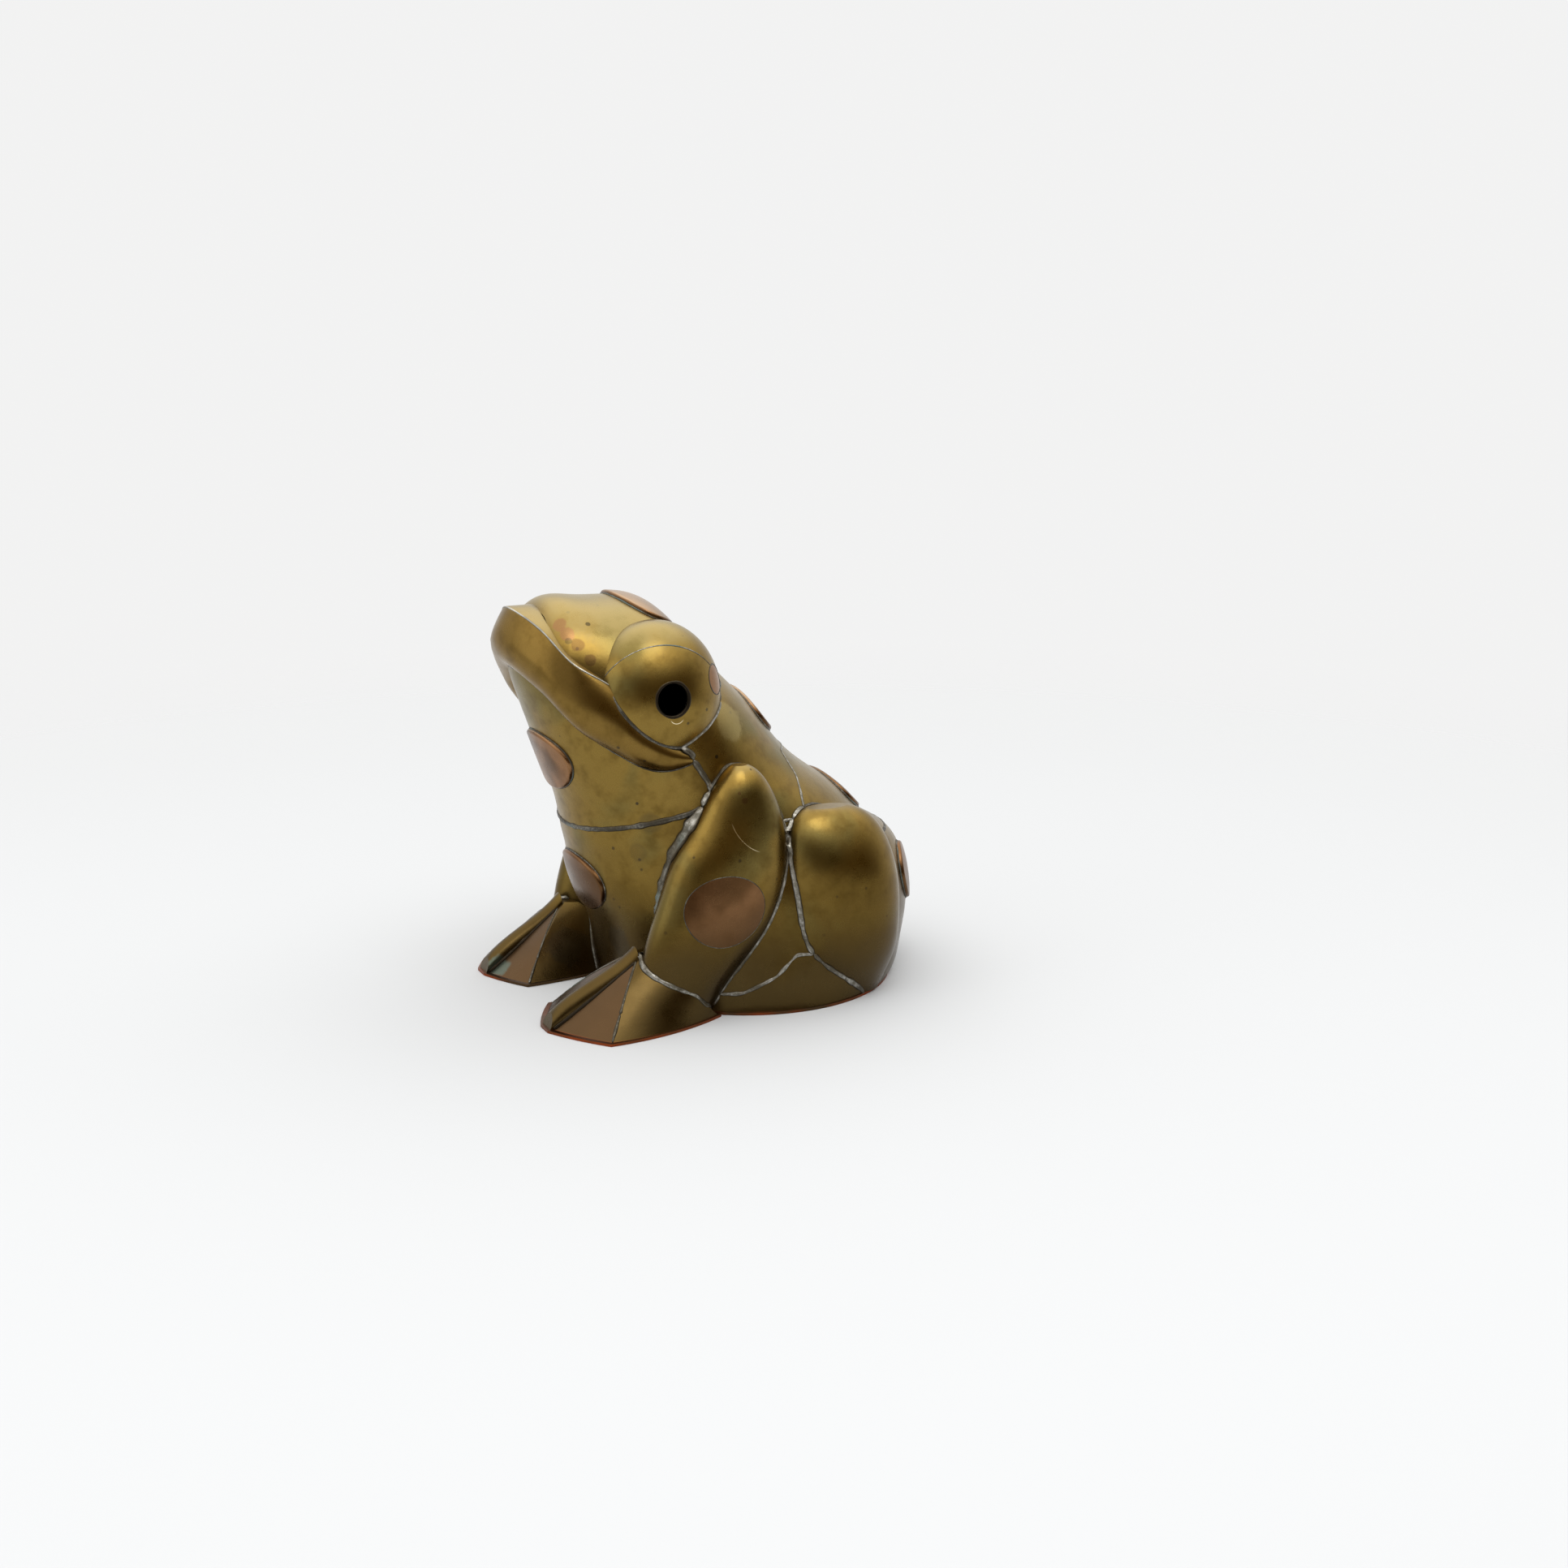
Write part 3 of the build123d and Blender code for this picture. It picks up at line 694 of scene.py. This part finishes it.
def evened(run, step):
    """A run's points spaced evenly and smoothed, their ways out, how far along they lie, and if it closes."""
    places = np.array([place for place, _ in run])
    ways = np.array([way for _, way in run])
    along = np.concatenate([[0.0], np.cumsum(np.linalg.norm(np.diff(places, axis=0), axis=1))])
    count = max(4, int(round(along[-1] / step)) + 1)
    even = np.linspace(0.0, along[-1], count)
    line = np.column_stack([np.interp(even, along, places[:, axis]) for axis in range(3)])
    ways = np.column_stack([np.interp(even, along, ways[:, axis]) for axis in range(3)])
    closed = np.linalg.norm(places[0] - places[-1]) < SAME
    for _ in range(SMOOTH_ROUNDS):
        if closed:
            ring = line[:-1]
            ring = (np.roll(ring, 1, axis=0) + 2 * ring + np.roll(ring, -1, axis=0)) / 4
            line = np.vstack([ring, ring[:1]])
        else:
            line[1:-1] = (line[:-2] + 2 * line[1:-1] + line[2:]) / 4
        ways[1:-1] = (ways[:-2] + 2 * ways[1:-1] + ways[2:]) / 4
    return line, ways, even, closed


# Solder: lumpy beads that lie on the sheets along a run


def turned_up(line, onward, ups, half_width, sheets):
    """The ways up from a run, turned until they stand on the sheets to both its sides."""
    for _ in range(UP_ROUNDS):
        sides = np.cross(onward, ups)
        fresh = np.zeros_like(ups)
        for row, place in enumerate(line):
            up = Vector(ups[row])
            for turn in (-1, 1):
                start = Vector(place + sides[row] * turn * half_width)
                fresh[row] += sheets.level(start, up)[1]
        fresh[1:-1] = (fresh[:-2] + fresh[1:-1] + fresh[2:]) / 3
        ups = square_to(fresh, onward)
    return ups


def bead_ring(place, side, up, width, rough_size, sheets, settings):
    """Points across a bead from side to side, and back through the sheets."""
    levels = []
    for share in SECTION:
        level = sheets.level(Vector(place + side * share * width), up)[0]
        levels.append(min(max(level, DEEPEST * width), HIGHEST * width))
    ring = []
    for share, level in zip(SECTION, levels):
        chord = levels[0] + (levels[-1] - levels[0]) * (share + 1) / 2
        level += settings.fill * max(0.0, chord - level)
        rough = noise.noise(Vector(place + side * share * width) / rough_size) * ROUGHNESS * width
        level += (settings.height_share * width + rough) * (1.0 - share * share)
        if abs(share) == 1.0:
            level -= SKIN
        ring.append(place + side * share * width + np.array(up) * level)
    for share, level in zip(UNDERSIDE, (levels[-2], levels[1])):
        ring.append(place + side * share * width + np.array(up) * (level - 3 * SKIN))
    return ring


def tube_faces(rows, ring, closed):
    """Faces of a tube of rings, with a lid on each end unless it is closed to a loop."""
    faces = []
    for row in range(rows if closed else rows - 1):
        here = row * ring
        following = (row + 1) % rows * ring
        for corner in range(ring):
            beside = (corner + 1) % ring
            faces.append((here + corner, here + beside, following + beside, following + corner))
    if not closed:
        faces.append(tuple(reversed(range(ring))))
        faces.append(tuple(range((rows - 1) * ring, rows * ring)))
    return faces


def bead(run, half_width, sheets, settings, seed):
    """Corner points and faces of a bead of solder that swells and thins along a run."""
    line, ways, along, closed = evened(run, settings.step)
    onward = unit(np.gradient(line, axis=0))
    ups = turned_up(line, onward, square_to(ways, onward), half_width, sheets)
    sides = np.cross(onward, ups)
    corners = []
    for here, place, side, up in zip(along, line, sides, ups):
        lump = noise.noise(Vector((here / settings.lump_size, seed, 0.0)))
        wave = noise.noise(Vector((here / (settings.lump_size * WAVE_LUMPS), seed, WAVE_SEED)))
        width = half_width * (1.0 + settings.lump_share * (lump + wave))
        if not closed:
            from_end = min(here, along[-1] - here)
            width *= min(1.0, TIP_SHARE + from_end / (2.0 * half_width))
        corners += bead_ring(place, side, Vector(up), width, 0.5 * half_width, sheets, settings)
    ring = len(SECTION) + len(UNDERSIDE)
    rows = len(line) - 1 if closed else len(line)
    return corners[: rows * ring], tube_faces(rows, ring, closed)


def mesh_piece(name, corners, faces, material):
    """A smooth mesh that rides on the frog and stays inside its box."""
    mesh = bpy.data.meshes.new(name)
    mesh.from_pydata(np.clip(corners, *BOX).tolist(), [], faces)
    mesh.polygons.foreach_set("use_smooth", [True] * len(mesh.polygons))
    mesh.materials.append(material)
    mesh.update()
    item = bpy.data.objects.new(name, mesh)
    bpy.context.scene.collection.objects.link(item)
    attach(item, "root")
    return item


def solder_piece(name, corners, faces, material):
    """Beads as one piece that knows how far each of its points lies from the crest."""
    item = mesh_piece(name, corners, faces, material)
    away = [abs(share) for share in SECTION] + [1.0] * len(UNDERSIDE)
    rim = item.data.attributes.new("rim", "FLOAT", "POINT")
    rim.data.foreach_set("value", away * (len(corners) // len(away)))
    return item


def family(name):
    """A sheet's name without its side."""
    return name.replace("_left", "").replace("_right", "")


# The lip band


def smooth_rows(rows, count):
    """Rows of numbers with count smooth steps from each to the next."""
    rows = np.array(rows)
    padded = np.vstack([2 * rows[0] - rows[1], rows, 2 * rows[-1] - rows[-2]])
    steps = []
    for first, second, third, fourth in zip(padded, padded[1:], padded[2:], padded[3:]):
        for share in np.linspace(0.0, 1.0, count, endpoint=False):
            bend = (third - first) * share
            bend += (2 * first - 5 * second + 4 * third - fourth) * share**2
            bend += (3 * second - first - 3 * third + fourth) * share**3
            steps.append(second + bend / 2)
    steps.append(rows[-1])
    return np.array(steps)


def lip_section(edge, crisp):
    """Depth and height shares round the lip: an oval whose upper half is drawn out to an edge."""
    under = [(math.cos(turn), math.sin(turn)) for turn in np.radians(np.arange(-165, 0, 15))]
    over = []
    for height in LIP_FACE_HEIGHTS:
        oval = math.sqrt(1.0 - height * height)
        flat = 1.0 - (1.0 - edge) * height**LIP_FACE_BEND
        over.append((oval + (flat - oval) * crisp, height))
    # Over the edge, and back along the ledge behind it
    ledge = ((edge - 0.08, 1.02), *LIP_LEDGE)
    for oval, flat in zip(LIP_OVAL, ledge):
        over.append(tuple(np.array(oval) + (np.array(flat) - np.array(oval)) * crisp))
    return under + over + [(-1.0, 0.0)]


def lip_form():
    """Corner points and faces of the lip band, and the run along its upper edge."""
    other_side = [(-turn, -across, *rest) for turn, across, *rest in reversed(LIP_ROWS[1:])]
    rings = smooth_rows(other_side + list(LIP_ROWS), LIP_STEPS)
    corners = []
    edge_run = []
    for turn, across, along, height, half_depth, half_height, edge, crisp in rings:
        outward = np.array([math.sin(math.radians(turn)), -math.cos(math.radians(turn)), 0.0])
        middle = np.array([across, along, height])
        section = lip_section(edge, min(1.0, max(0.0, crisp)))
        for depth, rise in section:
            corners.append((middle + outward * depth * half_depth + UP * rise * half_height) * MM)
        if crisp > CRISP_ENOUGH:
            top = middle + outward * edge * min(1.0, crisp) * half_depth + UP * half_height
            edge_run.append((top * MM, Vector(outward + UP)))
    # The rings run the other way round than a bead's, so each face is turned over
    faces = [(face[0], *reversed(face[1:])) for face in tube_faces(len(rings), len(section), False)]
    return corners, faces, edge_run


# The pieces


class OBJECT_OT_frog_metals(bpy.types.Operator):
    """Gives every sheet its aged brass or copper."""

    bl_idname = "object.frog_metals"
    bl_label = "Frog metals"

    def execute(self, context):
        settings = context.scene.frog_metal
        marks = []
        blooms = []
        for place, reach, tint, share in MARKS:
            mark = (place, reach, getattr(settings, tint), share)
            marks.append(mark)
            if tint == "bloom":
                blooms.append(mark)
        brass = aged_metal(
            "aged_brass", settings, settings.brass, settings.brass_brown, settings.brass_olive,
            settings.brass_pale, marks,
        )
        aged_metal(
            "brown_brass", settings, settings.brass_red, settings.brass_brown, settings.brass_red,
            settings.brass_pale, [],
        )
        copper = aged_metal(
            "aged_copper", settings, settings.copper, settings.copper_brown, settings.copper_brown,
            settings.copper_pale, blooms,
        )
        for name, node in frame["nodes"].items():
            metal = copper if any(word in name for word in COPPER_WORDS) else brass
            for slot in node.material_slots:
                slot.material = metal
        return {"FINISHED"}


class OBJECT_OT_frog_lip(bpy.types.Operator):
    """Forms the lip band: a flat face with a crisp upper edge, a bright bead on it as painted highlight,
    rounded over underneath.
    """

    bl_idname = "object.frog_lip"
    bl_label = "Frog lip"

    def execute(self, context):
        corners, faces, edge_run = lip_form()
        item = mesh_piece("lip_band", corners, faces, bpy.data.materials["brown_brass"])
        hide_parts("lip")
        settings = context.scene.frog_solder
        # The lip's upper edge: a bright bead as a painted highlight
        rubbed = solder_metal("rubbed_edge", settings, settings.rubbed, settings.bright, settings.dull)
        corners, faces = bead(edge_run, LIP_EDGE, Sheets({"lip_band": item}), settings, LIP_EDGE_SEED)
        solder_piece("lip_edge", corners, faces, rubbed)
        return {"FINISHED"}


class OBJECT_OT_frog_solder(bpy.types.Operator):
    """Lays a bead of solder along every seam that shows."""

    bl_idname = "object.frog_solder"
    bl_label = "Frog solder"

    def execute(self, context):
        settings = context.scene.frog_solder
        grime = context.scene.frog_metal.grime
        kinds = {
            "bright": solder_metal("solder", settings, settings.bright, settings.dull, grime),
            "dark": solder_metal("dark_solder", settings, settings.dull, settings.dark, grime),
            "soot": solder_metal("soot", settings, settings.soot, settings.soot, settings.soot),
        }
        sheets = Sheets(frame["nodes"])
        for count, ((name, other), runs) in enumerate(sorted(sheets.seams().items())):
            style = SEAMS.get(tuple(sorted((family(name), family(other)))))
            if style is None:
                continue
            half_width = style[0] * MM
            corners = []
            faces = []
            for run in runs:
                length = sum((Vector(a[0]) - Vector(b[0])).length for a, b in zip(run, run[1:]))
                if length < 2.0 * half_width:
                    continue
                more_corners, more_faces = bead(run, half_width, sheets, settings, float(count))
                faces += [tuple(corner + len(corners) for corner in face) for face in more_faces]
                corners += more_corners
            if corners:
                solder_piece(f"solder_{name}_{other}", corners, faces, kinds[style[1]])
        return {"FINISHED"}


# The studio


def lamp(name, place, size, power):
    """A square area lamp at a place, turned to the frog."""
    light = bpy.data.lights.new(name, "AREA")
    light.shape = "SQUARE"
    light.size = size
    light.energy = power
    item = bpy.data.objects.new(name, light)
    item.location = place
    item.rotation_euler = (Vector(LAMP_AIM) - Vector(place)).to_track_quat("-Z", "Y").to_euler()
    bpy.context.scene.collection.objects.link(item)


class OBJECT_OT_frog_stage(bpy.types.Operator):
    """Sets the camera, the pale floor, the lamps and the backdrop."""

    bl_idname = "object.frog_stage"
    bl_label = "Frog stage"

    def execute(self, context):
        settings = context.scene.frog_stage
        self.camera(context, settings)
        self.floor(context, settings)
        self.world(context, settings)
        lamp("overhead", OVERHEAD_PLACE, OVERHEAD_SIZE, settings.overhead_power)
        lamp("side", SIDE_PLACE, SIDE_SIZE, settings.side_power)
        context.scene.view_settings.view_transform = "Standard"
        return {"FINISHED"}

    def camera(self, context, settings):
        """The camera at the photograph's viewing angle."""
        camera = bpy.data.cameras.new("camera")
        camera.sensor_width = SENSOR_WIDTH
        camera.lens = settings.lens
        item = bpy.data.objects.new("camera", camera)
        item.location = settings.camera_place
        item.rotation_euler = Vector(settings.camera_aim).to_track_quat("-Z", "Y").to_euler()
        context.scene.collection.objects.link(item)
        context.scene.camera = item

    def floor(self, context, settings):
        """A round pale floor that fades into the backdrop."""
        mesh = bpy.data.meshes.new("floor")
        radius = settings.floor_radius
        turns = [math.tau * side / FLOOR_SIDES for side in range(FLOOR_SIDES)]
        ring = [(radius * math.cos(turn), radius * math.sin(turn), -FLOOR_DROP) for turn in turns]
        mesh.from_pydata(ring, [], [tuple(range(FLOOR_SIDES))])
        shade = Shade("floor")
        where = shade.add("ShaderNodeTexCoord", out="Object")
        away = shade.add("ShaderNodeVectorMath", {0: where}, "Value", operation="LENGTH")
        fade = shade.between(away, radius * 0.35, radius * 0.95)
        pale = shade.add("ShaderNodeBsdfDiffuse", {"Color": (*settings.floor_colour, 1.0)})
        clear = shade.add("ShaderNodeBsdfTransparent")
        surface = shade.add("ShaderNodeMixShader", {0: fade, 1: pale, 2: clear})
        shade.add("ShaderNodeOutputMaterial", {"Surface": surface})
        mesh.materials.append(shade.material)
        item = bpy.data.objects.new("floor", mesh)
        context.scene.collection.objects.link(item)

    def world(self, context, settings):
        """A pale backdrop that the metal shows too, with a wide light above it and a dim side."""
        world = bpy.data.worlds.new("studio")
        world.use_nodes = True
        context.scene.world = world
        shade = Shade("studio", world.node_tree)
        seen = shade.add("ShaderNodeLightPath", out="Is Camera Ray")
        glossy = shade.add("ShaderNodeLightPath", out="Is Glossy Ray")
        through = shade.add("ShaderNodeLightPath", out="Is Transmission Ray")
        shown = shade.maths("MAXIMUM", seen, shade.maths("MAXIMUM", glossy, through))
        room = shade.blend(shown, settings.room, settings.backdrop)
        way = shade.add("ShaderNodeTexCoord", out="Generated")
        height = shade.axis(way, "Z")
        room = shade.blend(shade.between(height, 0.30, 0.80), room, settings.ceiling)
        # The dim side: how far round it reaches, how high it stands, and weaker towards the front
        towards = {0: way, 1: settings.dim_side}
        towards = shade.add("ShaderNodeVectorMath", towards, "Value", operation="DOT_PRODUCT")
        dim = shade.maths("MULTIPLY", shade.between(towards, -0.25, 0.45), shade.between(height, 0.75, 0.30))
        dim = shade.maths("MULTIPLY", dim, shade.between(shade.axis(way, "Y"), -0.95, -0.45, 0.35, 1.0))
        room = shade.blend(dim, room, settings.dim)
        room = shade.add("ShaderNodeBackground", {"Color": room, "Strength": settings.room_light})
        backdrop = shade.add("ShaderNodeBackground", {"Color": (*settings.backdrop, 1.0), "Strength": 1.0})
        mixed = shade.add("ShaderNodeMixShader", {0: seen, 1: room, 2: backdrop})
        shade.add("ShaderNodeOutputWorld", {"Surface": mixed})


class VIEW3D_PT_frog(bpy.types.Panel):
    """The sizes and colours in the sidebar."""

    bl_label = "Frog"
    bl_space_type = "VIEW_3D"
    bl_region_type = "UI"
    bl_category = "Frog"

    def draw(self, context):
        for group in (context.scene.frog_metal, context.scene.frog_solder, context.scene.frog_stage):
            for name in group.bl_rna.properties.keys():
                if name not in ("rna_type", "name"):
                    self.layout.prop(group, name)
        for operator in OPERATORS:
            self.layout.operator(operator.bl_idname)


OPERATORS = (OBJECT_OT_frog_metals, OBJECT_OT_frog_lip, OBJECT_OT_frog_solder, OBJECT_OT_frog_stage)
CLASSES = (FrogMetalSettings, FrogSolderSettings, FrogStageSettings, *OPERATORS, VIEW3D_PT_frog)


def register():
    for kind in CLASSES:
        bpy.utils.register_class(kind)
    bpy.types.Scene.frog_metal = bpy.props.PointerProperty(type=FrogMetalSettings)
    bpy.types.Scene.frog_solder = bpy.props.PointerProperty(type=FrogSolderSettings)
    bpy.types.Scene.frog_stage = bpy.props.PointerProperty(type=FrogStageSettings)


def unregister():
    del bpy.types.Scene.frog_stage
    del bpy.types.Scene.frog_solder
    del bpy.types.Scene.frog_metal
    for kind in reversed(CLASSES):
        bpy.utils.unregister_class(kind)


def main():
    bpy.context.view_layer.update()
    register()
    bpy.ops.object.frog_metals()
    bpy.ops.object.frog_lip()
    bpy.ops.object.frog_solder()
    bpy.ops.object.frog_stage()


if __name__ == "__main__":
    main()
